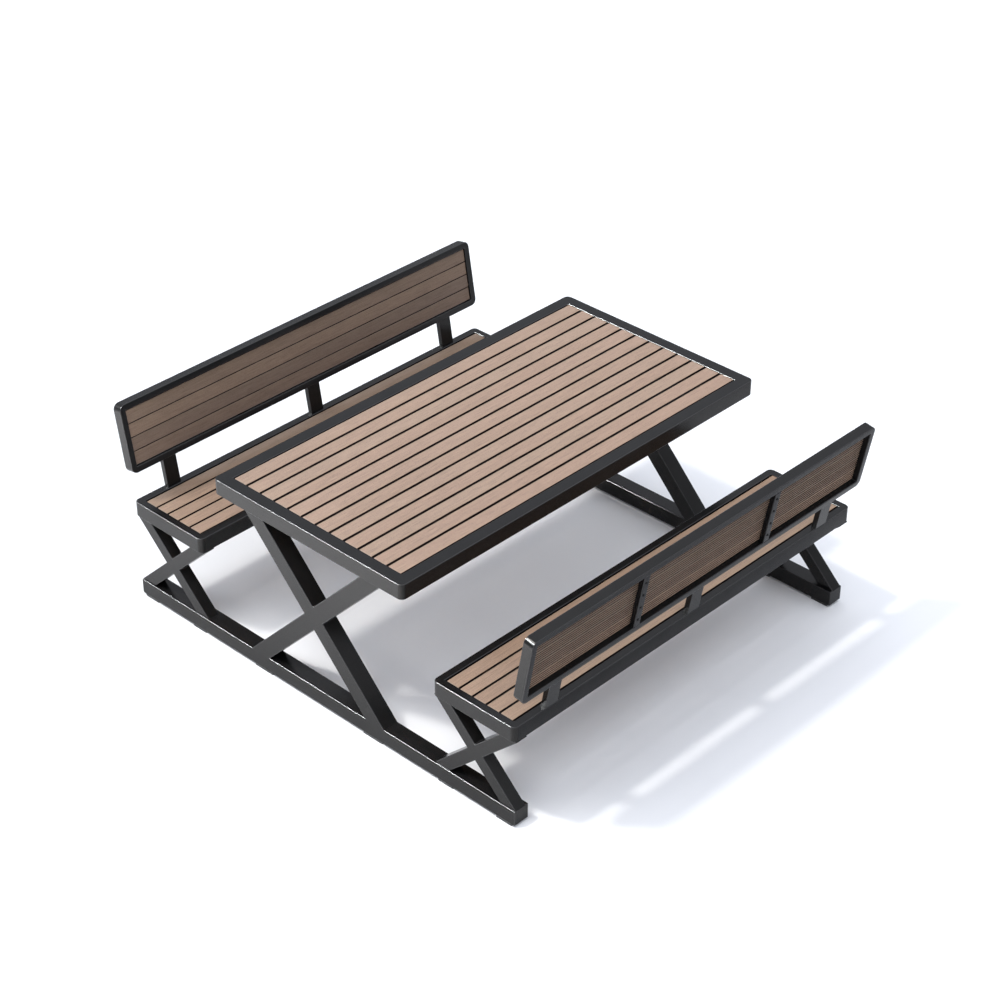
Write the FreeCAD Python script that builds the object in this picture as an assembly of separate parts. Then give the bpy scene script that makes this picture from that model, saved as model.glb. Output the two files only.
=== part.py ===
"""Picnic table with two fixed benches that have backrests, as a welded tube frame with screwed-on slats.

Frame: +Z up, origin on the floor under the middle of the table, X across the benches, Y along the
table. The front is the -Y end, the left bench is on the -X side. Millimetres.
"""
import FreeCAD, Part
import math
import os

V = FreeCAD.Vector
X_AXIS = V(1, 0, 0)
Y_AXIS = V(0, 1, 0)
Z_AXIS = V(0, 0, 1)
CENTRE = V(0, 0, 0)

# Overall sizes
table_length = 1800.0
table_height = 738.0
seat_height = 415.0
bench_gap = 115.0            # open width between the table's edge and the seat's edge
end_setback = 18.0           # seats end this far inside the table's ends

# Slats, one stock for the table and the seats and a thinner one for the backrests
slat_thickness = 19.0
slat_recess = 1.0            # slat faces lie this far below the frame's face
slat_end_gap = 2.0           # between a slat's end and the end tube
slat_edge_radius = 2.0
table_slat_count = 12
table_slat_width = 57.0
table_slat_gap = 11.0
table_side_gap = 5.5         # between the outer slats and the side tubes
seat_slat_count = 5
seat_slat_width = 51.0
seat_slat_gap = 9.0
seat_side_gap = 7.5
back_slat_count = 4
back_slat_width = 50.0
back_slat_gap = 4.0
back_slat_thickness = 14.0
back_slat_recess = 6.0

# Table and seat frames: rings of mitred tube
frame_height = 60.0
table_tube_width = 50.0
table_tube_wall = 2.5
table_corner_radius = 22.0
seat_tube_width = 30.0
seat_tube_wall = 2.0
seat_corner_radius = 20.0
tube_edge_radius = 2.5

# Bearers under the slats
bearer_width = 40.0
bearer_height = 20.0
bearer_wall = 2.0
bearer_count = 5

# Backrest: a mitred ring on three posts, leaning back
back_lean = 10.0             # degrees from upright
back_clear_height = 115.0    # seat top to backrest, along the lean
back_height = 270.0          # along the lean
back_tube_width = 25.0
back_tube_depth = 40.0
back_tube_wall = 2.0
back_corner_radius = 25.0
back_support_width = 30.0
back_support_wall = 2.0
back_support_offset = 338.0  # from the bench's middle
back_support_count = 2
post_width = 60.0
post_thickness = 20.0
post_wall = 2.0
post_count = 3
post_setback = 174.0         # outer posts' middles lie this far inside the seat's ends
post_inset = 1.0             # the post's heel lies this far inside the seat's outer face

# Floor rails, pads and crossed legs
rail_height = 60.0
rail_depth = 66.0
rail_wall = 3.0
rail_setback = 5.0           # the rail's face lies this far inside the seat's end
end_plate = 3.0
pad_thickness = 8.0
pad_margin = 1.0             # the pad is narrower than the rail by this much on each side
pad_corner_radius = 6.0
bench_pad_length = 72.0
bench_pad_inset = 15.0       # from the leg's foot towards the bench's middle
table_pad_length = 96.0
table_pad_inset = 10.0       # from the leg's foot towards the table's middle
table_leg_width = 66.0
table_leg_wall = 3.0
table_leg_foot = 287.0       # leg centre line at the rail, from the middle
table_leg_head = 300.0       # leg centre line under the table, from the middle
bench_leg_width = 48.0
bench_leg_depth = 48.0
bench_leg_wall = 2.5
bench_leg_inset = 5.0        # the bench leg's face lies this far behind the rail's face
head_plate = 3.0

# Screws
screw_radius = 2.5
screw_head_radius = 5.0
screw_head_height = 2.0
screw_bite = 13.0            # how far a slat screw goes into its slat
back_screw_bite = 9.0
screw_clearance = 0.15       # round a shank in its hole
screw_end_room = 1.0         # the hole goes this much deeper than the screw
pad_screw_rise = 8.0         # above the pad, through the rail's wall
pad_head_drop = 2.5          # the head's underside lies this far above the floor
pad_screw_offset = 20.0      # from the pad's middle

# Places worked out from the sizes above
table_slats_width = table_slat_count * (table_slat_width + table_slat_gap) - table_slat_gap
table_half_width = table_slats_width / 2 + table_side_gap + table_tube_width
table_half_length = table_length / 2
seat_slats_width = seat_slat_count * (seat_slat_width + seat_slat_gap) - seat_slat_gap
seat_depth = seat_slats_width + 2 * (seat_side_gap + seat_tube_width)
seat_inner = table_half_width + bench_gap
seat_outer = seat_inner + seat_depth
seat_middle = (seat_inner + seat_outer) / 2
seat_half_length = table_half_length - end_setback
rail_face = seat_half_length - rail_setback
rail_top = pad_thickness + rail_height
table_under = table_height - frame_height
seat_under = seat_height - frame_height
lean = math.radians(back_lean)
table_leg_rise = table_under - head_plate - rail_top
table_leg_angle = math.atan2(table_leg_rise, table_leg_foot + table_leg_head)
bench_leg_rise = seat_under - head_plate - rail_top
bench_leg_turn = math.asin(bench_leg_width / math.hypot(seat_depth, bench_leg_rise))
bench_leg_angle = math.atan2(bench_leg_rise, seat_depth) + bench_leg_turn
bench_leg_foot = (seat_depth - bench_leg_width / math.sin(bench_leg_angle)) / 2
post_front = (back_tube_depth - post_thickness) / 2
post_back = post_front + post_thickness
back_face = seat_outer - post_inset - post_back / math.cos(lean)
back_support_depth = back_tube_depth - back_slat_recess - back_slat_thickness
reach = 10.0                 # how far a cutting tool runs past what it cuts


def box(x0, x1, y0, y1, z0, z1):
    return Part.makeBox(x1 - x0, y1 - y0, z1 - z0, V(x0, y0, z0))


def prism(points, height):
    """Solid that stands on a flat outline, which lies in a plane of constant y or z."""
    wire = Part.makePolygon(points + points[:1])
    return Part.Face(wire).extrude(height)


def edges_along(shape, direction):
    found = []
    for edge in shape.Edges:
        if isinstance(edge.Curve, Part.Line):
            run = edge.Vertexes[-1].Point - edge.Vertexes[0].Point
            if run.cross(direction).Length < 1e-6 * run.Length:
                found.append(edge)
    return found


def rounded(shape, direction, radius):
    return shape.makeFillet(radius, edges_along(shape, direction))


def mirrored_x(shapes):
    return [shape.mirror(CENTRE, X_AXIS) for shape in shapes]


def mirrored_y(shapes):
    return [shape.mirror(CENTRE, Y_AXIS) for shape in shapes]


def spread(half_span, count):
    """Evenly spaced places from -half_span to +half_span."""
    return [half_span * (2 * i / (count - 1) - 1) for i in range(count)]


def export(name, shapes):
    solids = [solid for shape in shapes for solid in shape.Solids]
    whole = solids[0] if len(solids) == 1 else Part.Compound(solids)
    whole.exportStep("parts/" + name + ".step")
    print(name, len(solids), "solids", whole.isValid())


# Tubes and frames

def straight_tube(x0, x1, y0, y1, z0, z1, wall, direction):
    """Hollow square tube along one axis, open at both ends, with rounded long edges."""
    outer = rounded(box(x0, x1, y0, y1, z0, z1), direction, tube_edge_radius)
    grow = [reach if axis == direction else -wall for axis in (X_AXIS, Y_AXIS, Z_AXIS)]
    gx, gy, gz = grow
    return outer.cut(box(x0 - gx, x1 + gx, y0 - gy, y1 + gy, z0 - gz, z1 + gz))


def rectangle(x0, x1, y0, y1, z):
    return [V(x0, y0, z), V(x1, y0, z), V(x1, y1, z), V(x0, y1, z)]


def ring(x0, x1, y0, y1, z0, z1, inset, width, radius, wall):
    """Closed ring of rectangular section; inset shrinks the section on every side."""
    outer = box(x0 + inset, x1 - inset, y0 + inset, y1 - inset, z0 + inset, z1 - inset)
    outer = rounded(outer, Z_AXIS, radius - inset)
    to_opening = width - inset
    opening = box(x0 + to_opening, x1 - to_opening, y0 + to_opening, y1 - to_opening, z0 - wall, z1 + wall)
    return outer.cut(opening)


def mitred_frame(x0, x1, y0, y1, z0, z1, width, radius, wall):
    """Four mitred tubes: low-x side, high-x side, low-y end, high-y end."""
    solid_ring = ring(x0, x1, y0, y1, z0, z1, 0, width, radius, wall)
    face_edges = [e for e in solid_ring.Edges if e.BoundBox.ZLength < wall]
    shell = solid_ring.makeFillet(tube_edge_radius, face_edges)
    shell = shell.cut(ring(x0, x1, y0, y1, z0, z1, wall, width, radius, wall))
    out = rectangle(x0 - reach, x1 + reach, y0 - reach, y1 + reach, z0 - reach)
    inn = rectangle(x0 + width, x1 - width, y0 + width, y1 - width, z0 - reach)
    pieces = []
    for start, end in ((3, 0), (1, 2), (0, 1), (2, 3)):
        outline = [out[start], inn[start], inn[end], out[end]]
        wedge = prism(outline, V(0, 0, z1 - z0 + 2 * reach))
        pieces.append(shell.common(wedge))
    return pieces


# Slats, bearers and their screws

def slat(x0, x1, half_length, z0, z1):
    body = box(x0, x1, -half_length, half_length, z0, z1)
    return rounded(body, Y_AXIS, slat_edge_radius)


def slat_screw(start, direction, through, bite):
    """Screw whose head bears on a support at start and that goes through it into a slat."""
    head_low = start - direction * screw_head_height
    head = Part.makeCylinder(screw_head_radius, screw_head_height, head_low, direction)
    shank = Part.makeCylinder(screw_radius, through + bite, start, direction)
    return head.fuse(shank)


def drilled(shape, starts, direction, through, bite):
    """Shape with the holes for such screws."""
    radius = screw_radius + screw_clearance
    depth = reach + through + bite + screw_end_room
    holes = [Part.makeCylinder(radius, depth, start - direction * reach, direction) for start in starts]
    return shape.cut(Part.Compound(holes))


def decked_frame(x0, x1, half_length, top, tube_width, side_gap, count, slat_width, gap):
    """Slats, bearers and screws that fill a frame whose outer faces are x0, x1 and +-half_length."""
    slat_top = top - slat_recess
    slat_under = slat_top - slat_thickness
    bearer_under = slat_under - bearer_height
    inner_half = half_length - tube_width
    first = x0 + tube_width + side_gap
    lows = [first + i * (slat_width + gap) for i in range(count)]
    middles = [low + slat_width / 2 for low in lows]
    rows = spread(inner_half - bearer_width / 2, bearer_count)

    slats = []
    for low, middle in zip(lows, middles):
        body = slat(low, low + slat_width, inner_half - slat_end_gap, slat_under, slat_top)
        starts = [V(middle, y, bearer_under) for y in rows]
        slats.append(drilled(body, starts, Z_AXIS, bearer_height, screw_bite))
    bearers = []
    screws = []
    for y in rows:
        y0 = y - bearer_width / 2
        y1 = y + bearer_width / 2
        body = straight_tube(x0 + tube_width, x1 - tube_width, y0, y1, bearer_under, slat_under,
                             bearer_wall, X_AXIS)
        starts = [V(middle, y, bearer_under) for middle in middles]
        bearers.append(drilled(body, starts, Z_AXIS, bearer_height, screw_bite))
        screws += [slat_screw(start, Z_AXIS, bearer_height, screw_bite) for start in starts]
    return slats, bearers, screws


# Crossed legs

def leg_prism(foot, head, z1, half_width, run_on, y0, y1):
    """Sloping bar from the rail's top to z1, cut level at both ends, run on past them in height."""
    z0 = rail_top
    slope = (head - foot) / (z1 - z0)
    half = half_width / math.sin(math.atan2(z1 - z0, abs(head - foot)))
    low = foot - slope * run_on
    high = head + slope * run_on
    bottom = z0 - run_on
    top = z1 + run_on
    outline = [(low - half, bottom), (low + half, bottom), (high + half, top), (high - half, top)]
    return prism([V(x, y0, z) for x, z in outline], V(0, y1 - y0, 0))


def leg_tube(foot, head, z1, width, wall, y0, y1):
    outer = leg_prism(foot, head, z1, width / 2, 0, y0, y1)
    outer = rounded(outer, V(head - foot, 0, z1 - rail_top), tube_edge_radius)
    return outer.cut(leg_prism(foot, head, z1, width / 2 - wall, reach, y0 + wall, y1 - wall))


def crossed_legs(middle, foot, head, z1, width, wall, y0, y1):
    """One through tube and the two half tubes that are coped to it."""
    through = leg_tube(middle - foot, middle + head, z1, width, wall, y0, y1)
    other = leg_tube(middle + foot, middle - head, z1, width, wall, y0, y1)
    body = leg_prism(middle - foot, middle + head, z1, width / 2, reach, y0 - reach, y1 + reach)
    return [through] + other.cut(body).Solids


def head_plates(middle, head, width, angle, y0, y1, top):
    """Plates that close the legs' heads."""
    half = width / 2 / math.sin(angle)
    return [box(x - half, x + half, y0, y1, top - head_plate, top) for x in (middle - head, middle + head)]


# Floor rail, end plates and pads

def floor_rail():
    x = seat_outer - end_plate
    return straight_tube(-x, x, -rail_face, rail_depth - rail_face, pad_thickness, rail_top,
                         rail_wall, X_AXIS)


def rail_end_plate(x0):
    body = box(x0, x0 + end_plate, -rail_face, rail_depth - rail_face, pad_thickness, rail_top)
    return rounded(body, X_AXIS, tube_edge_radius)


def foot_pad(middle, length):
    y0 = pad_margin - rail_face
    y1 = rail_depth - pad_margin - rail_face
    body = box(middle - length / 2, middle + length / 2, y0, y1, 0, pad_thickness)
    return rounded(body, Z_AXIS, pad_corner_radius)


def pad_screw(x, y, head_low, clearance):
    """Pan-head screw, or with a clearance the hole that takes it."""
    head_high = pad_head_drop + screw_head_height
    shank_high = pad_thickness + pad_screw_rise
    head = Part.makeCylinder(screw_head_radius + clearance, head_high - head_low, V(x, y, head_low))
    shank = Part.makeCylinder(screw_radius + clearance, shank_high - head_high, V(x, y, head_high))
    return head.fuse(shank)


# Backrest, built upright with its front face at x = 0 and the seat's top at z = 0

def lean_back(shapes):
    """Tip an upright backrest piece back and set it on the right-hand bench."""
    for shape in shapes:
        shape.rotate(CENTRE, Y_AXIS, back_lean)
        shape.translate(V(back_face, 0, seat_height))
    return shapes


def back_frame():
    low = back_clear_height
    high = back_clear_height + back_height
    flat = mitred_frame(low, high, -seat_half_length, seat_half_length, -back_tube_depth, 0,
                        back_tube_width, back_corner_radius, back_tube_wall)
    for piece in flat:
        piece.rotate(CENTRE, Y_AXIS, -90)
    return flat


def back_post(middle):
    """Post that runs on below the seat's top, where it is then cut level."""
    y0 = middle - post_width / 2
    y1 = middle + post_width / 2
    return straight_tube(post_front, post_back, y0, y1, -back_tube_depth, back_clear_height,
                         post_wall, Z_AXIS)


def back_slats_and_supports():
    low = back_clear_height + back_tube_width
    high = back_clear_height + back_height - back_tube_width
    stack = back_slat_count * (back_slat_width + back_slat_gap) - back_slat_gap
    first = (low + high - stack) / 2
    rear = back_slat_recess + back_slat_thickness
    half = seat_half_length - back_tube_width - slat_end_gap
    lows = [first + i * (back_slat_width + back_slat_gap) for i in range(back_slat_count)]
    middles = [z + back_slat_width / 2 for z in lows]
    rows = spread(back_support_offset, back_support_count)
    forward = -X_AXIS

    slats = []
    for z, middle in zip(lows, middles):
        body = slat(back_slat_recess, rear, half, z, z + back_slat_width)
        starts = [V(back_tube_depth, y, middle) for y in rows]
        slats.append(drilled(body, starts, forward, back_support_depth, back_screw_bite))
    supports = []
    screws = []
    for y in rows:
        y0 = y - back_support_width / 2
        y1 = y + back_support_width / 2
        bar = straight_tube(rear, back_tube_depth, y0, y1, low, high, back_support_wall, Z_AXIS)
        starts = [V(back_tube_depth, y, middle) for middle in middles]
        supports.append(drilled(bar, starts, forward, back_support_depth, back_screw_bite))
        screws += [slat_screw(start, forward, back_support_depth, back_screw_bite) for start in starts]
    return slats, supports, screws


# The whole table

def make_table_top():
    w = table_half_width
    tubes = mitred_frame(-w, w, -table_half_length, table_half_length, table_under, table_height,
                         table_tube_width, table_corner_radius, table_tube_wall)
    names = ("left_side", "right_side", "front_end", "rear_end")
    for name, tube in zip(names, tubes):
        export("table_frame_" + name, [tube])
    slats, bearers, screws = decked_frame(-w, w, table_half_length, table_height, table_tube_width,
                                          table_side_gap, table_slat_count, table_slat_width,
                                          table_slat_gap)
    for i, body in enumerate(slats):
        export("table_slat_%02d" % (i + 1), [body])
    export("table_bearers", bearers)
    export("table_slat_screws", screws)


def make_benches():
    frame = mitred_frame(seat_inner, seat_outer, -seat_half_length, seat_half_length, seat_under, seat_height,
                         seat_tube_width, seat_corner_radius, seat_tube_wall)
    slats, bearers, screws = decked_frame(seat_inner, seat_outer, seat_half_length, seat_height,
                                          seat_tube_width, seat_side_gap, seat_slat_count,
                                          seat_slat_width, seat_slat_gap)
    below_seat_top = box(0, 2 * seat_outer, -seat_half_length, seat_half_length, 0, seat_height)
    posts = lean_back([back_post(y) for y in spread(seat_half_length - post_setback, post_count)])
    posts = [post.cut(below_seat_top) for post in posts]
    ring_tubes = lean_back(back_frame())
    back_slats, supports, back_screws = back_slats_and_supports()
    lean_back(back_slats)
    lean_back(supports)
    lean_back(back_screws)
    for side, turn in (("right", list), ("left", mirrored_x)):
        export(side + "_seat_frame", turn(frame))
        export(side + "_seat_bearers", turn(bearers))
        export(side + "_back_frame", turn(ring_tubes))
        export(side + "_back_posts", turn(posts))
        export(side + "_back_supports", turn(supports))
        for i, body in enumerate(slats):
            export(side + "_seat_slat_%d" % (i + 1), turn([body]))
        for i, body in enumerate(back_slats):
            export(side + "_back_slat_%d" % (i + 1), turn([body]))
    export("seat_slat_screws", screws + mirrored_x(screws))
    export("back_slat_screws", back_screws + mirrored_x(back_screws))


def make_legs():
    y0 = -rail_face
    y1 = y0 + rail_depth
    table_cross = crossed_legs(0, table_leg_foot, table_leg_head, table_under - head_plate,
                               table_leg_width, table_leg_wall, y0, y1)
    export("front_table_cross_legs", table_cross)
    export("rear_table_cross_legs", mirrored_y(table_cross))
    plates = head_plates(0, table_leg_head, table_leg_width, table_leg_angle, y0, y1, table_under)

    y0 = bench_leg_inset - rail_face
    y1 = y0 + bench_leg_depth
    bench_cross = crossed_legs(seat_middle, bench_leg_foot, bench_leg_foot, seat_under - head_plate,
                               bench_leg_width, bench_leg_wall, y0, y1)
    for side, turn in (("right", list), ("left", mirrored_x)):
        export("front_" + side + "_bench_cross_legs", turn(bench_cross))
        export("rear_" + side + "_bench_cross_legs", mirrored_y(turn(bench_cross)))
    bench_plates = head_plates(seat_middle, bench_leg_foot, bench_leg_width, bench_leg_angle, y0, y1,
                               seat_under)
    plates += bench_plates + mirrored_x(bench_plates)
    export("leg_head_plates", plates + mirrored_y(plates))


def make_base():
    pads = []
    screws = []
    holes = []
    bench_pad_place = bench_leg_foot - bench_pad_inset
    places = [(table_leg_foot - table_pad_inset, table_pad_length),
              (seat_middle - bench_pad_place, bench_pad_length),
              (seat_middle + bench_pad_place, bench_pad_length)]
    y = rail_depth / 2 - rail_face
    for middle, length in places:
        pad = foot_pad(middle, length)
        for x in (middle - pad_screw_offset, middle + pad_screw_offset):
            hole = pad_screw(x, y, -reach, screw_clearance)
            pad = pad.cut(hole)
            holes.append(hole)
            screws.append(pad_screw(x, y, pad_head_drop, 0))
        pads.append(pad)
    pads += mirrored_x(pads)
    screws += mirrored_x(screws)
    holes += mirrored_x(holes)
    rail = floor_rail().cut(Part.Compound(holes))
    plates = [rail_end_plate(-seat_outer), rail_end_plate(seat_outer - end_plate)]
    export("front_floor_rail", [rail])
    export("rear_floor_rail", mirrored_y([rail]))
    export("rail_end_plates", plates + mirrored_y(plates))
    export("foot_pads", pads + mirrored_y(pads))
    export("foot_pad_screws", screws + mirrored_y(screws))


os.makedirs("parts", exist_ok=True)
make_table_top()
make_benches()
make_legs()
make_base()
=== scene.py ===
"""Picnic table with two backrest benches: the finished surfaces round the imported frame. Metres."""
import bpy
import math
import random
from mathutils import Matrix, Vector


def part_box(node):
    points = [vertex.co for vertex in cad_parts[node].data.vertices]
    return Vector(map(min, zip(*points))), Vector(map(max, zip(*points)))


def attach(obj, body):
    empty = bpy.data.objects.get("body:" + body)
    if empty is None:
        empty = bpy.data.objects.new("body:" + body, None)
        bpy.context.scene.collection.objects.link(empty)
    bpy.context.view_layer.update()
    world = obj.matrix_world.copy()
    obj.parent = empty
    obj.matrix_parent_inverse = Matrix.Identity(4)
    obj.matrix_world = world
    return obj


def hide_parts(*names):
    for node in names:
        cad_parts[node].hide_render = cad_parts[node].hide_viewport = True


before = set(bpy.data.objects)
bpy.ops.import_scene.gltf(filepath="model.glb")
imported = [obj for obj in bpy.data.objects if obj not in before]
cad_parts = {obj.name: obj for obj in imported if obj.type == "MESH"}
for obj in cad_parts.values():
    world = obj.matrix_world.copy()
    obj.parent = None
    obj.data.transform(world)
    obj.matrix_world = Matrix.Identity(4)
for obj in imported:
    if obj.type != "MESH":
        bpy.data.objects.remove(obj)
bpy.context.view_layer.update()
random.seed(7)

MM = 0.001

# Roundings and corners
TUBE_EDGE = 2.8 * MM
SLAT_EDGE = 1.5 * MM
THIN_EDGE = 0.6 * MM
POST_EDGE = 1.4 * MM
FRAME_CORNER = 22 * MM
SEAT_CORNER = 20 * MM
BACK_CORNER = 25 * MM
PAD_CORNER = 6 * MM
SOFT_ANGLE = math.radians(32)

# Slats: the tone runs from the dark backrests to the pale table top. The backrests' dark tone is painted
# shade; the seats' tone is darker and browner than the table's
TABLE_SLATS = 12
SEAT_SLATS = 5
BACK_SLATS = 4
BACK_TONE = 0.12
SEAT_TONE = 0.5
TABLE_TONE = 0.88
TONE_SPREAD = 0.1
GROOVE_COUNT = 4
GROOVE_DEPTH = 3.5 * MM
GROOVE_HALF_SHARE = 0.28     # of the grooves' pitch

# Bearers under the slats
BEARER_COUNT = 5
BEARER_DEPTH = 40 * MM

# Crossed legs
TABLE_LEG_WIDTH = 66 * MM
TABLE_LEG_FOOT = 287 * MM    # the legs' middle lines, from the table's middle
TABLE_LEG_HEAD = 300 * MM
BENCH_LEG_WIDTH = 48 * MM

# Rails, pads and screws
RAIL_HALF_DEPTH = 33 * MM
TABLE_PAD = 96 * MM
TABLE_PAD_PLACE = 277 * MM
BENCH_PAD = 72 * MM
PAD_SCREW_OFFSET = 20 * MM
PAD_SCREW_SEAT = 4.5 * MM
COUNTERSINK_RADIUS = 5.4 * MM
HEAD_RADIUS = 4.9 * MM
HEAD_HEIGHT = 1.95 * MM
HEAD_ROUNDING = 1.1 * MM
DRIVE_RIM = 1.7 * MM
DRIVE_DEPTH = 1.1 * MM

# Backrests, built upright with the front face at x = 0 and the seat's top at z = 0
LEAN = math.radians(10)
BACK_LOW = 115 * MM
BACK_HIGH = 385 * MM
BACK_TUBE = 25 * MM
BACK_DEPTH = 40 * MM
BACK_SLAT_WIDTH = 50 * MM
BACK_SLAT_GAP = 4 * MM
BACK_SLAT_THICKNESS = 14 * MM
BACK_SLAT_RECESS = 6 * MM
SUPPORT_WIDTH = 30 * MM
POST_WIDTH = 60 * MM
POST_FRONT = 10 * MM
POST_BACK = 30 * MM
POST_INSET = 1 * MM
BACK_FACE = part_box("right_seat_frame")[1].x - POST_INSET - POST_BACK / math.cos(LEAN)


# Selecting, as by hand

def only(obj):
    bpy.ops.object.select_all(action="DESELECT")
    obj.select_set(True)
    bpy.context.view_layer.objects.active = obj


def edit(obj, kind):
    """Edit mode on obj in one select mode, with nothing selected."""
    only(obj)
    bpy.ops.object.mode_set(mode="EDIT")
    bpy.ops.mesh.select_mode(type=kind)
    bpy.ops.mesh.select_all(action="DESELECT")


def done():
    bpy.ops.object.mode_set(mode="OBJECT")


def pick_edges(obj, test):
    """Edit mode with the edges selected whose two ends pass test."""
    edit(obj, "EDGE")
    done()
    for edge in obj.data.edges:
        a, b = (obj.data.vertices[i].co for i in edge.vertices)
        edge.select = test(a, b)
    bpy.ops.object.mode_set(mode="EDIT")


def pick_faces(obj, test):
    """Edit mode with the faces selected whose middle and normal pass test."""
    edit(obj, "FACE")
    done()
    for face in obj.data.polygons:
        face.select = test(face.center, face.normal)
    bpy.ops.object.mode_set(mode="EDIT")


def settle(obj):
    """Put the object's place and turn into its mesh."""
    only(obj)
    bpy.ops.object.transform_apply(location=True, rotation=True, scale=True)


def named(obj, name):
    obj.name = name
    obj.data.name = name
    return obj


# Shaping

def block(name, low, high):
    low, high = Vector(low), Vector(high)
    bpy.ops.object.select_all(action="DESELECT")
    bpy.ops.mesh.primitive_cube_add(size=1, location=(low + high) / 2, scale=high - low)
    obj = named(bpy.context.object, name)
    settle(obj)
    return obj


def rounded(obj, width, segments=3):
    """Round every sharp edge, and mark the roundings."""
    only(obj)
    shape = obj.data
    for _ in ("faces", "roundings"):
        shape.materials.append(None)
    bevel = obj.modifiers.new("round", "BEVEL")
    bevel.width = width
    bevel.segments = segments
    bevel.limit_method = "ANGLE"
    bevel.angle_limit = SOFT_ANGLE
    bevel.material = 1
    bpy.ops.object.modifier_apply(modifier=bevel.name)
    marks = shape.attributes.new("edge", "FLOAT", "FACE")
    marks.data.foreach_set("value", [float(face.material_index) for face in shape.polygons])
    shape.materials.clear()
    return obj


def smooth(obj):
    """Smooth the roundings and keep the flats flat."""
    only(obj)
    bpy.ops.object.shade_smooth_by_angle(angle=SOFT_ANGLE)
    flats = obj.modifiers.new("flats", "WEIGHTED_NORMAL")
    flats.keep_sharp = True
    bpy.ops.object.modifier_apply(modifier=flats.name)
    return obj


def upright_corners(obj, radius, segments=8):
    """Round the four upright outer edges of a block or ring."""
    xs = [v.co.x for v in obj.data.vertices]
    ys = [v.co.y for v in obj.data.vertices]
    x_ends, y_ends = (min(xs), max(xs)), (min(ys), max(ys))

    def outer(a, b):
        upright = abs(a.x - b.x) + abs(a.y - b.y) < 1e-6
        on_x_end = min(abs(a.x - x) for x in x_ends) < 1e-6
        on_y_end = min(abs(a.y - y) for y in y_ends) < 1e-6
        return upright and on_x_end and on_y_end

    pick_edges(obj, outer)
    bpy.ops.mesh.bevel(offset=radius, segments=segments, affect="EDGES")
    done()
    return obj


def slice_by(obj, point, normal):
    """Keep what lies behind the plane, and close the cut."""
    edit(obj, "FACE")
    bpy.ops.mesh.select_all(action="SELECT")
    bpy.ops.mesh.bisect(plane_co=point, plane_no=normal, use_fill=True, clear_outer=True)
    done()
    return obj


def joined(obj, other, operation):
    """Weld other to obj, or cut it from obj."""
    only(obj)
    weld = obj.modifiers.new("weld", "BOOLEAN")
    weld.operation = operation
    weld.object = other
    weld.solver = "EXACT"
    bpy.ops.object.modifier_apply(modifier=weld.name)
    bpy.data.objects.remove(other)
    return obj


def clean_flats(obj):
    edit(obj, "FACE")
    bpy.ops.mesh.select_all(action="SELECT")
    bpy.ops.mesh.remove_doubles(threshold=1e-5)
    bpy.ops.mesh.dissolve_limited(angle_limit=math.radians(1))
    done()


def copied(obj, name, shift=(0, 0, 0), half_turn=False):
    """Copy with its own mesh, moved, then turned half round the table's middle."""
    only(obj)
    bpy.ops.object.duplicate()
    twin = named(bpy.context.object, name)
    twin.location = shift
    settle(twin)
    if half_turn:
        twin.rotation_euler.z = math.pi
        settle(twin)
    return twin


def merged(parts, name):
    bpy.ops.object.select_all(action="DESELECT")
    for part in parts:
        part.select_set(True)
    bpy.context.view_layer.objects.active = parts[0]
    bpy.ops.object.join()
    return named(bpy.context.object, name)


def ring(name, low, high, width, corner):
    """Closed frame of tube round an opening, outer corners rounded."""
    low, high = Vector(low), Vector(high)
    obj = block(name, low, high)
    pick_faces(obj, lambda middle, normal: abs(normal.z) > 0.5)
    bpy.ops.mesh.inset(thickness=width)
    bpy.ops.mesh.delete(type="FACE")
    done()

    def inner(a, b):
        inside_x = all(low.x + width / 2 < v.x < high.x - width / 2 for v in (a, b))
        return inside_x and all(low.y + width / 2 < v.y < high.y - width / 2 for v in (a, b))

    pick_edges(obj, inner)
    bpy.ops.mesh.bridge_edge_loops()
    bpy.ops.mesh.select_all(action="SELECT")
    bpy.ops.mesh.normals_make_consistent(inside=False)
    done()
    upright_corners(obj, corner)
    return smooth(rounded(obj, TUBE_EDGE))


# Materials

def node_of(tree, kind, **settings):
    node = tree.nodes.new(kind)
    for key, value in settings.items():
        setattr(node, key, value)
    return node


def blank_material(name):
    material = bpy.data.materials.new(name)
    material.use_nodes = True
    return material, material.node_tree, material.node_tree.nodes["Principled BSDF"]


def object_place(tree):
    return node_of(tree, "ShaderNodeTexCoord").outputs["Object"]


def mark(tree, name):
    """A value that the mesh carries: edge, side or tone."""
    return node_of(tree, "ShaderNodeAttribute", attribute_name=name).outputs["Fac"]


def noise(tree, place, scale, detail=4.0, roughness=0.55, stretch=(1, 1, 1)):
    mapping = node_of(tree, "ShaderNodeMapping")
    mapping.inputs["Scale"].default_value = stretch
    tree.links.new(place, mapping.inputs["Vector"])
    texture = node_of(tree, "ShaderNodeTexNoise")
    texture.inputs["Scale"].default_value = scale
    texture.inputs["Detail"].default_value = detail
    texture.inputs["Roughness"].default_value = roughness
    tree.links.new(mapping.outputs["Vector"], texture.inputs["Vector"])
    return texture.outputs["Fac"]


def ramp(tree, value, stops):
    node = node_of(tree, "ShaderNodeValToRGB")
    points = node.color_ramp.elements
    for i, (at, colour) in enumerate(stops):
        point = points[i] if i < 2 else points.new(at)
        point.position = at
        point.color = (*colour, 1)
    tree.links.new(value, node.inputs["Fac"])
    return node.outputs["Color"]


def spread_of(tree, value, low, high, from_low=0.3, from_high=0.7):
    node = node_of(tree, "ShaderNodeMapRange")
    node.inputs["From Min"].default_value = from_low
    node.inputs["From Max"].default_value = from_high
    node.inputs["To Min"].default_value = low
    node.inputs["To Max"].default_value = high
    tree.links.new(value, node.inputs["Value"])
    return node.outputs["Result"]


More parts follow.
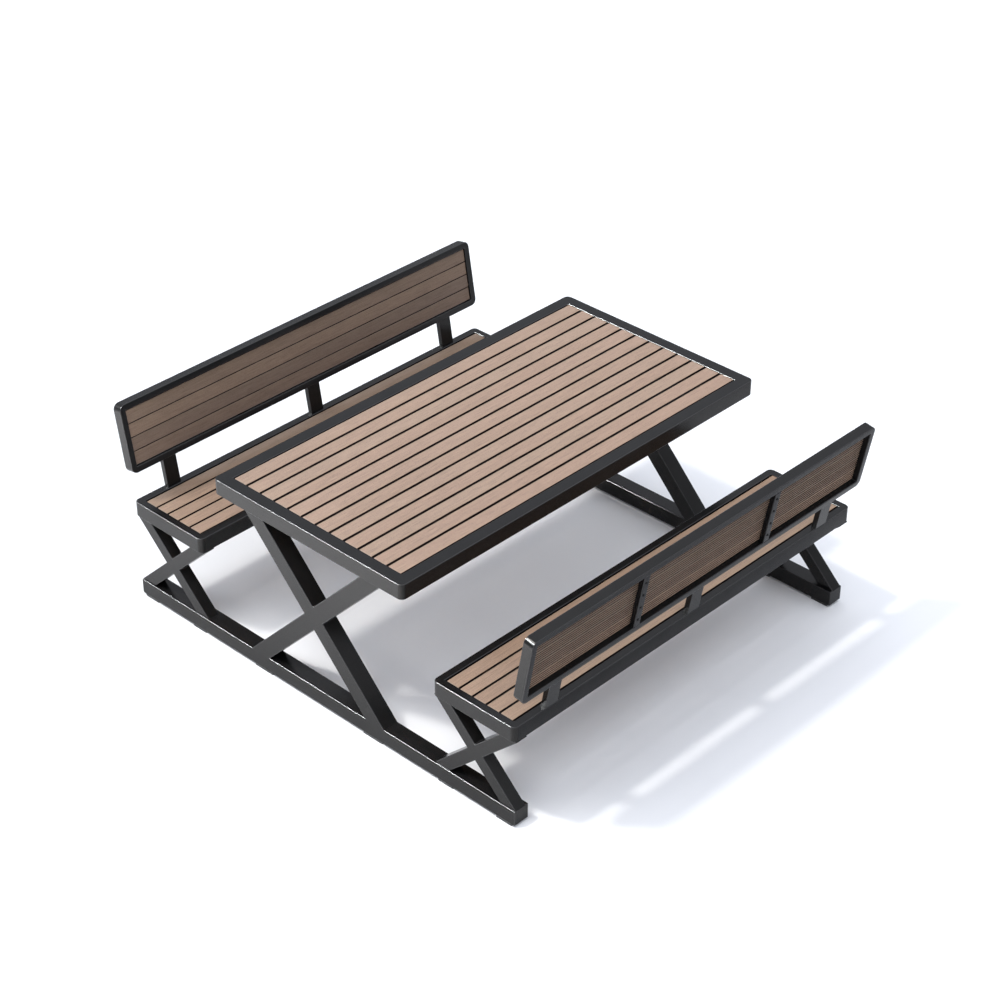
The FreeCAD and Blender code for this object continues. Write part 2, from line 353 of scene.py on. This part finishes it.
def mixed(tree, blend, share, a, b):
    node = node_of(tree, "ShaderNodeMix", data_type="RGBA", blend_type=blend)
    for value, socket in ((share, node.inputs["Factor"]), (a, node.inputs[6]), (b, node.inputs[7])):
        if isinstance(value, (int, float)):
            socket.default_value = value
        elif isinstance(value, tuple):
            socket.default_value = (*value, 1)
        else:
            tree.links.new(value, socket)
    return node.outputs[2]


def bumped(tree, shader, height, strength, distance, under=None):
    node = node_of(tree, "ShaderNodeBump")
    node.inputs["Strength"].default_value = strength
    node.inputs["Distance"].default_value = distance
    tree.links.new(height, node.inputs["Height"])
    if under:
        tree.links.new(under, node.inputs["Normal"])
    tree.links.new(node.outputs["Normal"], shader.inputs["Normal"])
    return node.outputs["Normal"]


def powder_coat():
    """Charcoal polyester powder: fine orange peel, satin, a little cloudy, with a painted highlight along
    the roundings.
    """
    material, tree, shader = blank_material("charcoal_powder_coat")
    place = object_place(tree)
    peel = noise(tree, place, 900, detail=2)
    ripple = noise(tree, place, 260, detail=2)
    cloud = noise(tree, place, 7, detail=5)
    colour = ramp(tree, cloud, [(0.3, (0.0065, 0.0065, 0.0066)), (0.7, (0.0095, 0.0095, 0.0096))])
    specks = ramp(tree, peel, [(0.62, (0, 0, 0)), (0.72, (0.009, 0.009, 0.009))])
    colour = mixed(tree, "ADD", 1.0, colour, specks)
    edge = mark(tree, "edge")
    # Roundings are painted paler than the flats: a painted highlight along every edge.
    tree.links.new(mixed(tree, "MIX", edge, colour, (0.022, 0.022, 0.023)), shader.inputs["Base Color"])
    tree.links.new(spread_of(tree, cloud, 0.18, 0.25), shader.inputs["Roughness"])
    first = bumped(tree, shader, ripple, 0.10, 0.0006)
    bumped(tree, shader, peel, 0.12, 0.0003, first)
    tree.links.new(spread_of(tree, edge, 0.18, 0.32, 0.0, 1.0), shader.inputs["Specular IOR Level"])
    shader.inputs["Specular Tint"].default_value = (1.0, 0.95, 0.905, 1.0)
    return material


def composite():
    """Wood composite board: brushed fibres along the board, flecks, its own tone for each board, a painted
    highlight on the roundings and painted shade on the side faces in the gaps.
    """
    material, tree, shader = blank_material("composite_board")
    place = object_place(tree)
    fibres = noise(tree, place, 1, detail=6, roughness=0.62, stretch=(620, 14, 620))
    streaks = noise(tree, place, 1, detail=3, stretch=(150, 2.2, 150))
    flecks = noise(tree, place, 520, detail=2)
    patches = noise(tree, place, 5, detail=3)
    tone = mark(tree, "tone")
    # The dark backrest stop is painted shade; the seat stop is darker and browner than the table stop.
    body = ramp(tree, tone, [(0.0, (0.150, 0.109, 0.083)),
                             (0.5, (0.300, 0.200, 0.136)),
                             (1.0, (0.346, 0.243, 0.181))])
    dye = node_of(tree, "ShaderNodeTexWhiteNoise", noise_dimensions="1D")
    tree.links.new(tone, dye.inputs["W"])
    dye = ramp(tree, dye.outputs["Value"], [(0.0, (1.02, 0.99, 0.99)), (1.0, (0.985, 1.002, 0.99))])
    fibre = ramp(tree, fibres, [(0.32, (0.66, 0.64, 0.62)), (0.5, (1, 1, 1)), (0.72, (1.2, 1.18, 1.16))])
    streak = ramp(tree, streaks, [(0.3, (0.86, 0.85, 0.84)), (0.7, (1.06, 1.06, 1.06))])
    patch = ramp(tree, patches, [(0.3, (0.93, 0.92, 0.91)), (0.7, (1.04, 1.03, 1.02))])
    fleck = ramp(tree, flecks, [(0.34, (0.62, 0.59, 0.57)), (0.43, (1, 1, 1))])
    # Paler roundings: a painted highlight along the board edges.
    painted_edge_highlight = (1.35, 1.34, 1.32)
    # Darkened side faces: painted shade in the gaps between boards.
    painted_gap_shade = (0.03, 0.02, 0.02)
    for share, factor in ((1.0, dye), (0.9, fibre), (0.5, streak), (0.6, patch), (1.0, fleck),
                          (mark(tree, "edge"), painted_edge_highlight), (mark(tree, "side"), painted_gap_shade)):
        body = mixed(tree, "MULTIPLY", share, body, factor)
    tree.links.new(body, shader.inputs["Base Color"])
    tree.links.new(spread_of(tree, fibres, 0.56, 0.74), shader.inputs["Roughness"])
    first = bumped(tree, shader, fibres, 0.35, 0.0004)
    bumped(tree, shader, flecks, 0.15, 0.0003, first)
    shader.inputs["Specular IOR Level"].default_value = 0.28
    return material


def mottled(name, scale, detail, shades, rough, grain):
    """Small parts: soft blotches of shade and sheen over a fine grain."""
    material, tree, shader = blank_material(name)
    place = object_place(tree)
    blotch = noise(tree, place, scale, detail=detail)
    tree.links.new(ramp(tree, blotch, shades), shader.inputs["Base Color"])
    tree.links.new(spread_of(tree, blotch, *rough), shader.inputs["Roughness"])
    grain_scale, strength, depth = grain
    bumped(tree, shader, noise(tree, place, grain_scale, detail=1), strength, depth)
    return material, shader


def rubber():
    shades = [(0.35, (0.012, 0.012, 0.012)), (0.75, (0.035, 0.033, 0.031))]
    return mottled("pad_rubber", 60, 5, shades, (0.62, 0.85), (1400, 0.2, 0.0003))[0]


def black_steel():
    """Blackened screws, dull and a little blotchy."""
    shades = [(0.3, (0.005, 0.005, 0.005)), (0.7, (0.013, 0.013, 0.013))]
    material, shader = mottled("blackened_steel", 220, 4, shades, (0.42, 0.6), (2400, 0.08, 0.0001))
    shader.inputs["Specular IOR Level"].default_value = 0.16
    return material


def zinc():
    shades = [(0.3, (0.42, 0.43, 0.45)), (0.7, (0.62, 0.62, 0.63))]
    material, shader = mottled("zinc_plated_steel", 180, 4, shades, (0.28, 0.45), (2600, 0.08, 0.0001))
    shader.inputs["Metallic"].default_value = 1.0
    return material


COAT = powder_coat()
BOARD = composite()
RUBBER = rubber()
ZINC = zinc()
BLACK_STEEL = black_steel()


def piece(obj, material, *nodes):
    """Finish a piece: material, body, the nodes that it stands for."""
    obj.data.materials.clear()
    obj.data.materials.append(material)
    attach(obj, "root")
    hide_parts(*nodes)
    return obj


# Slats

def board(name, low, high):
    """Board lying along Y with rounded edges and grooves along its underside."""
    low, high = Vector(low), Vector(high)
    obj = block(name, low, high)
    pitch = (high.x - low.x) / (GROOVE_COUNT + 1)
    half_groove = pitch * GROOVE_HALF_SHARE
    for i in range(GROOVE_COUNT):
        middle = low.x + pitch * (i + 1)
        groove = block("groove", (middle - half_groove, low.y - MM, low.z - MM),
                       (middle + half_groove, high.y + MM, low.z + GROOVE_DEPTH))
        joined(obj, groove, "DIFFERENCE")
    rounded(obj, SLAT_EDGE)
    # Side faces are marked for the painted shade in the gaps between boards.
    sides = obj.data.attributes.new("side", "FLOAT", "FACE")
    sides.data.foreach_set("value", [float(abs(face.normal.x) > 0.9) for face in obj.data.polygons])
    return smooth(obj)


def slat_piece(obj, node, tone):
    """Finish a board with a tone of its own, near the tone of its deck."""
    tones = obj.data.attributes.new("tone", "FLOAT", "POINT")
    own_tone = tone + random.uniform(-TONE_SPREAD, TONE_SPREAD)
    tones.data.foreach_set("value", [own_tone] * len(obj.data.vertices))
    piece(obj, BOARD, node)


def slat_row(pattern, count, tone):
    """One board, copied to the place of every node in the row."""
    nodes = [pattern % (i + 1) for i in range(count)]
    first = board(nodes[0] + "_board", *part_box(nodes[0]))
    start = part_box(nodes[0])[0]
    boards = [first] + [copied(first, node + "_board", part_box(node)[0] - start) for node in nodes[1:]]
    for obj, node in zip(boards, nodes):
        slat_piece(obj, node, tone)


# Table and seat frames

def table_frame():
    """One ring, cut at its mitres into four tubes."""
    low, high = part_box("table_frame_left_side")[0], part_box("table_frame_right_side")[1]
    low.y, high.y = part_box("table_frame_front_end")[0].y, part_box("table_frame_rear_end")[1].y
    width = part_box("table_frame_front_end")[1].y - low.y
    whole = ring("table_frame_whole", low, high, width, FRAME_CORNER)
    for side, sign in (("left_side", -1), ("right_side", 1)):
        tube = slice_by(copied(whole, "table_frame_%s_tube" % side), (0, 0, 0), (-sign, 0, 0))
        for end in (-1, 1):
            slice_by(tube, (sign * high.x, end * high.y, 0), (-sign, end, 0))
        piece(smooth(tube), COAT, "table_frame_" + side)
    for side, sign in (("front_end", -1), ("rear_end", 1)):
        tube = copied(whole, "table_frame_%s_tube" % side)
        for end in (-1, 1):
            slice_by(tube, (end * high.x, sign * high.y, 0), (end, -sign, 0))
        piece(smooth(tube), COAT, "table_frame_" + side)
    bpy.data.objects.remove(whole)


def seat_frames():
    for side in ("right", "left"):
        node = side + "_seat_frame"
        low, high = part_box(node)
        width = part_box(side + "_seat_bearers")[0].x - low.x
        piece(ring(node + "_tubes", low, high, width, SEAT_CORNER), COAT, node)


def bearers():
    for node in ("table_bearers", "left_seat_bearers", "right_seat_bearers"):
        low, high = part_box(node)
        step = (high.y - low.y - BEARER_DEPTH) / (BEARER_COUNT - 1)
        tubes = []
        for i in range(BEARER_COUNT):
            y = low.y + i * step
            tube = block(node + "_tube", (low.x, y, low.z), (high.x, y + BEARER_DEPTH, high.z))
            tubes.append(rounded(tube, TUBE_EDGE))
        piece(smooth(merged(tubes, node + "_tubes")), COAT, node)


# Crossed legs and floor rails

def bar(name, foot, head, low, high, width):
    """Square bar between two centre-line points, longer than it needs to be at both ends."""
    run = Vector((head - foot, 0, high.z - low.z))
    middle = ((foot + head) / 2, (low.y + high.y) / 2, (low.z + high.z) / 2)
    bpy.ops.object.select_all(action="DESELECT")
    bpy.ops.mesh.primitive_cube_add(size=1, location=middle, rotation=(0, math.atan2(run.x, run.z), 0),
                                    scale=(width, high.y - low.y, run.length + 4 * width))
    obj = named(bpy.context.object, name)
    settle(obj)
    return obj


def cross(node, middle, foot, head, width, sink):
    """Two crossed bars welded and ground flush, cut level at the rail and under the frame."""
    low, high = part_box(node)
    obj = bar(node + "_tubes", middle - foot, middle + head, low, high, width)
    obj = joined(obj, bar("other_bar", middle + foot, middle - head, low, high, width), "UNION")
    clean_flats(obj)
    rounded(obj, TUBE_EDGE)
    slice_by(obj, (0, 0, low.z - sink), (0, 0, -1))
    slice_by(obj, (0, 0, high.z), (0, 0, 1))
    return smooth(obj)


def crossed_legs():
    front = cross("front_table_cross_legs", 0, TABLE_LEG_FOOT, TABLE_LEG_HEAD, TABLE_LEG_WIDTH, TUBE_EDGE)
    rear = copied(front, "rear_table_cross_legs_tubes", half_turn=True)
    piece(front, COAT, "front_table_cross_legs")
    piece(rear, COAT, "rear_table_cross_legs")

    node = "front_right_bench_cross_legs"
    low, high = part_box(node)
    rise, run = high.z - low.z, high.x - low.x
    angle = math.atan2(rise, run) + math.asin(BENCH_LEG_WIDTH / math.hypot(rise, run))
    foot = (run - BENCH_LEG_WIDTH / math.sin(angle)) / 2
    middle = (low.x + high.x) / 2
    right = cross(node, middle, foot, foot, BENCH_LEG_WIDTH, 0)
    left = copied(right, "front_left_bench_cross_legs_tubes", (-2 * middle, 0, 0))
    for obj, near, far in ((right, "front_right", "rear_left"), (left, "front_left", "rear_right")):
        behind = copied(obj, far + "_bench_cross_legs_tubes", half_turn=True)
        piece(obj, COAT, near + "_bench_cross_legs")
        piece(behind, COAT, far + "_bench_cross_legs")


def floor_rails():
    """Rails, each with a plate at both ends that carries the rail's rounding round the corner."""
    plates = []
    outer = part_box("rail_end_plates")[1].x
    for node in ("front_floor_rail", "rear_floor_rail"):
        low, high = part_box(node)
        rail_end = high.x
        low.x, high.x = -outer, outer
        whole = rounded(block("rail_whole", low, high), TUBE_EDGE)
        rail = copied(whole, node + "_tube")
        for side in (-1, 1):
            weld = (side * rail_end, 0, 0)
            slice_by(rail, weld, (side, 0, 0))
            plates.append(smooth(slice_by(copied(whole, "end_plate"), weld, (-side, 0, 0))))
        bpy.data.objects.remove(whole)
        piece(smooth(rail), COAT, node)
    piece(merged(plates, "rail_end_plates_welded"), COAT, "rail_end_plates")


# Pads and screws: of a screw only the head shows

def screw_head(turn):
    """Domed head with a round drive, its flat side at the origin."""
    bpy.ops.object.select_all(action="DESELECT")
    bpy.ops.mesh.primitive_cylinder_add(vertices=24, radius=HEAD_RADIUS, depth=HEAD_HEIGHT,
                                        location=(0, 0, HEAD_HEIGHT / 2))
    head = named(bpy.context.object, "screw_head")
    settle(head)
    near_top = HEAD_HEIGHT - 0.05 * MM
    pick_edges(head, lambda a, b: min(a.z, b.z) > near_top)
    bpy.ops.mesh.bevel(offset=HEAD_ROUNDING, segments=3, affect="EDGES")
    done()
    pick_faces(head, lambda middle, normal: normal.z > 0.9 and middle.z > near_top)
    bpy.ops.mesh.inset(thickness=DRIVE_RIM)
    bpy.ops.mesh.extrude_region_move(TRANSFORM_OT_translate={"value": (0, 0, -DRIVE_DEPTH)})
    done()
    head.rotation_euler = turn
    settle(head)
    return smooth(head)


def foot_pad(name, length, y0, depth, height):
    """Rubber block with two countersinks in its underside for the screws."""
    pad = block(name, (-length / 2, y0, 0), (length / 2, y0 + depth, height))
    upright_corners(pad, PAD_CORNER)
    for x in (-PAD_SCREW_OFFSET, PAD_SCREW_OFFSET):
        bpy.ops.object.select_all(action="DESELECT")
        bpy.ops.mesh.primitive_cylinder_add(vertices=32, radius=COUNTERSINK_RADIUS, depth=2 * PAD_SCREW_SEAT,
                                            location=(x, y0 + depth / 2, 0))
        joined(pad, bpy.context.object, "DIFFERENCE")
    clean_flats(pad)
    return smooth(rounded(pad, THIN_EDGE, 2))


def foot_pads():
    low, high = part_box("foot_pads")
    y0 = low.y
    depth = 2 * (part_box("front_floor_rail")[0].y + RAIL_HALF_DEPTH - y0)
    seat_low, seat_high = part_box("right_seat_frame")
    outer = high.x - BENCH_PAD / 2
    inner = seat_low.x + seat_high.x - outer
    table = foot_pad("table_pad", TABLE_PAD, y0, depth, high.z)
    bench = foot_pad("bench_pad", BENCH_PAD, y0, depth, high.z)
    pads = []
    heads = []
    head = screw_head((math.pi, 0, 0))
    for shape, x in ((table, TABLE_PAD_PLACE), (bench, inner), (bench, outer)):
        for side in (-1, 1):
            for half_turn in (False, True):
                pads.append(copied(shape, "pad", (side * x, 0, 0), half_turn))
                for offset in (-PAD_SCREW_OFFSET, PAD_SCREW_OFFSET):
                    place = (side * x + offset, y0 + depth / 2, PAD_SCREW_SEAT)
                    heads.append(copied(head, "head", place, half_turn))
    for spare in (table, bench, head):
        bpy.data.objects.remove(spare)
    piece(merged(pads, "foot_pads_rubber"), RUBBER, "foot_pads")
    piece(merged(heads, "foot_pad_screw_heads"), ZINC, "foot_pad_screws")


def slat_screws():
    """Heads under the bearers, below the middle line of every slat."""
    head = screw_head((math.pi, 0, 0))
    for node, decks in (("table_slat_screws", [("table", "table_slat_%02d", TABLE_SLATS)]),
                        ("seat_slat_screws", [("right_seat", "right_seat_slat_%d", SEAT_SLATS),
                                              ("left_seat", "left_seat_slat_%d", SEAT_SLATS)])):
        heads = []
        for deck, slat, count in decks:
            low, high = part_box(deck + "_bearers")
            step = (high.y - low.y - BEARER_DEPTH) / (BEARER_COUNT - 1)
            for i in range(count):
                x = sum(corner.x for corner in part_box(slat % (i + 1))) / 2
                for row in range(BEARER_COUNT):
                    y = low.y + BEARER_DEPTH / 2 + row * step
                    heads.append(copied(head, "head", (x, y, low.z)))
        piece(merged(heads, node + "_heads"), ZINC, node)
    bpy.data.objects.remove(head)


# Backrests

def leaned(obj):
    """Tip an upright piece back and set it on the right-hand bench."""
    obj.rotation_euler.y = LEAN
    settle(obj)
    obj.location = (BACK_FACE, 0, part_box("right_seat_frame")[1].z)
    settle(obj)
    return obj


def stood_up(obj):
    """Stand up a piece that was built lying on its back."""
    obj.rotation_euler.y = -math.pi / 2
    settle(obj)
    return obj


def both_benches(right, name, node):
    """Finish a backrest piece on the right-hand bench and its copy on the left-hand bench."""
    left = copied(right, "left_" + name, half_turn=True)
    piece(right, COAT, "right_" + node)
    piece(left, COAT, "left_" + node)


def back_frames():
    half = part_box("right_back_frame")[1].y
    flat = ring("right_back_frame_tubes", (BACK_LOW, -half, -BACK_DEPTH), (BACK_HIGH, half, 0),
                BACK_TUBE, BACK_CORNER)
    both_benches(leaned(stood_up(flat)), "back_frame_tubes", "back_frame")


def lowest_back_slat():
    """Where the lowest slat of a backrest starts, along the lean."""
    stack = BACK_SLATS * BACK_SLAT_WIDTH + (BACK_SLATS - 1) * BACK_SLAT_GAP
    return (BACK_LOW + BACK_HIGH - stack) / 2


def back_slats():
    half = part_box("right_back_slat_1")[1].y
    start = lowest_back_slat()
    flat = board("right_back_slat_1_board", (start, -half, -BACK_SLAT_RECESS - BACK_SLAT_THICKNESS),
                 (start + BACK_SLAT_WIDTH, half, -BACK_SLAT_RECESS))
    upright = stood_up(flat)
    for i in range(BACK_SLATS):
        node = "back_slat_%d" % (i + 1)
        rise = i * (BACK_SLAT_WIDTH + BACK_SLAT_GAP)
        right = leaned(copied(upright, "right_%s_board" % node, (0, 0, rise)))
        left = copied(right, "left_%s_board" % node, half_turn=True)
        slat_piece(right, "right_" + node, BACK_TONE)
        slat_piece(left, "left_" + node, BACK_TONE)
    bpy.data.objects.remove(upright)


def back_posts():
    seat_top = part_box("right_seat_frame")[1].z
    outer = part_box("right_back_posts")[1].y - POST_WIDTH / 2
    posts = []
    for y in (-outer, 0, outer):
        post = block("post", (POST_FRONT, y - POST_WIDTH / 2, -BACK_DEPTH),
                     (POST_BACK, y + POST_WIDTH / 2, BACK_LOW + TUBE_EDGE))
        leaned(rounded(post, POST_EDGE))
        posts.append(smooth(slice_by(post, (0, 0, seat_top), (0, 0, -1))))
    both_benches(merged(posts, "right_back_posts_tubes"), "back_posts_tubes", "back_posts")


def back_supports():
    """Bars behind the slats, and the heads of the screws that go through them."""
    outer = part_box("right_back_supports")[1].y - SUPPORT_WIDTH / 2
    first_screw = lowest_back_slat() + BACK_SLAT_WIDTH / 2
    bars = []
    heads = []
    head = screw_head((0, math.pi / 2, 0))
    for y in (-outer, outer):
        for i in range(BACK_SLATS):
            height = first_screw + i * (BACK_SLAT_WIDTH + BACK_SLAT_GAP)
            heads.append(copied(head, "head", (BACK_DEPTH, y, height)))
        low = (BACK_SLAT_RECESS + BACK_SLAT_THICKNESS, y - SUPPORT_WIDTH / 2, BACK_LOW + BACK_TUBE)
        high = (BACK_DEPTH, y + SUPPORT_WIDTH / 2, BACK_HIGH - BACK_TUBE)
        bars.append(leaned(smooth(rounded(block("support", low, high), TUBE_EDGE))))
    both_benches(merged(bars, "right_back_supports_tubes"), "back_supports_tubes", "back_supports")
    right_heads = leaned(merged(heads, "right_heads"))
    left_heads = copied(right_heads, "left_heads", half_turn=True)
    piece(merged([right_heads, left_heads], "back_slat_screw_heads"), BLACK_STEEL, "back_slat_screws")
    bpy.data.objects.remove(head)


# Small parts that keep their frame shape

def carried_over():
    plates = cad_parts["leg_head_plates"]
    plates.data.materials.clear()
    plates.data.materials.append(COAT)


# Floor, light and camera

def stage_plane(name, size, place):
    """Flat sheet that belongs to the studio, and its material's nodes."""
    bpy.ops.object.select_all(action="DESELECT")
    bpy.ops.mesh.primitive_plane_add(size=1, location=place)
    sheet = named(bpy.context.object, name)
    sheet.scale = (*size, 1)
    bpy.ops.object.transform_apply(location=False, rotation=False, scale=True)
    material, tree, shader = blank_material(name)
    shader.inputs["Roughness"].default_value = 0.9
    sheet.data.materials.append(material)
    return sheet, tree, shader


def studio_floor():
    floor, tree, shader = stage_plane("studio_floor", (80, 80), (0, 0, 0))
    shades = [(0.3, (0.87, 0.87, 0.872)), (0.7, (0.89, 0.89, 0.892))]
    tree.links.new(ramp(tree, noise(tree, object_place(tree), 0.8), shades), shader.inputs["Base Color"])
    shader.inputs["Specular IOR Level"].default_value = 0.1


def grey_card():
    """Card beside the right-hand bench that only the coat's reflections see."""
    card, tree, shader = stage_plane("grey_card", (2.9, 5.2), (2.7, 1.9, 0.002))
    shader.inputs["Base Color"].default_value = (0.42, 0.42, 0.43, 1.0)
    for seen_by in ("camera", "diffuse", "shadow", "transmission"):
        setattr(card, "visible_" + seen_by, False)


def lamp(name, kind, energy):
    obj = bpy.data.objects.new(name, bpy.data.lights.new(name, kind))
    obj.data.energy = energy
    bpy.context.scene.collection.objects.link(obj)
    return obj


def sun(name, energy, toward, angle, colour):
    """Far lamp that stands in one direction from the object."""
    obj = lamp(name, "SUN", energy)
    obj.data.angle = math.radians(angle)
    obj.data.color = colour
    obj.rotation_euler = Vector(toward).to_track_quat("Z", "Y").to_euler()
    return obj


def lights():
    sun("key_light", 1.3, (-0.38, -0.43, 1.0), 5.5, (1.0, 0.985, 0.955))

    soft = lamp("front_softbox", "AREA", 105)
    soft.location = (-0.8, -2.6, 2.4)
    soft.data.shape = "RECTANGLE"
    soft.data.size = 4.0
    soft.data.size_y = 2.2
    soft.data.spread = math.radians(60)

    for name, energy, toward in (("edge_glint", 13, (-0.571, -0.552, 0.607)),
                                 ("corner_glint", 8, (-0.36, -0.637, 0.668))):
        glint = sun(name, energy, toward, 10, (0.88, 0.95, 1.0))
        glint.data.cycles.max_bounces = 0
        glint.visible_diffuse = False


def surroundings():
    """Even studio air, brighter overhead."""
    world = bpy.data.worlds.new("studio")
    bpy.context.scene.world = world
    world.use_nodes = True
    tree = world.node_tree
    background = tree.nodes["Background"]
    parts = node_of(tree, "ShaderNodeSeparateXYZ")
    tree.links.new(node_of(tree, "ShaderNodeTexCoord").outputs["Generated"], parts.inputs["Vector"])
    air = ramp(tree, parts.outputs["Z"], [(0.0, (0.22, 0.23, 0.25)), (1.0, (1.38, 1.44, 1.58)),
                                          (0.5, (0.60, 0.63, 0.69))])
    tree.links.new(air, background.inputs["Color"])
    background.inputs["Strength"].default_value = 1.3


def camera():
    lens = bpy.data.cameras.new("view")
    lens.lens = 87.0
    lens.sensor_width = 36.0
    obj = bpy.data.objects.new("view", lens)
    turn = Matrix.Rotation(math.radians(43.25), 4, "Z")
    tilt = Matrix.Rotation(math.radians(90 - 33.53), 4, "X")
    roll = Matrix.Rotation(math.radians(0.43), 4, "Z")
    obj.matrix_world = Matrix.Translation((4.979, -5.251, 5.225)) @ turn @ tilt @ roll
    bpy.context.scene.collection.objects.link(obj)
    bpy.context.scene.camera = obj


slat_row("table_slat_%02d", TABLE_SLATS, TABLE_TONE)
slat_row("right_seat_slat_%d", SEAT_SLATS, SEAT_TONE)
slat_row("left_seat_slat_%d", SEAT_SLATS, SEAT_TONE)
table_frame()
seat_frames()
bearers()
crossed_legs()
floor_rails()
back_frames()
back_slats()
back_posts()
back_supports()
slat_screws()
foot_pads()
carried_over()
studio_floor()
grey_card()
lights()
surroundings()
camera()
bpy.context.scene.view_settings.view_transform = "Standard"
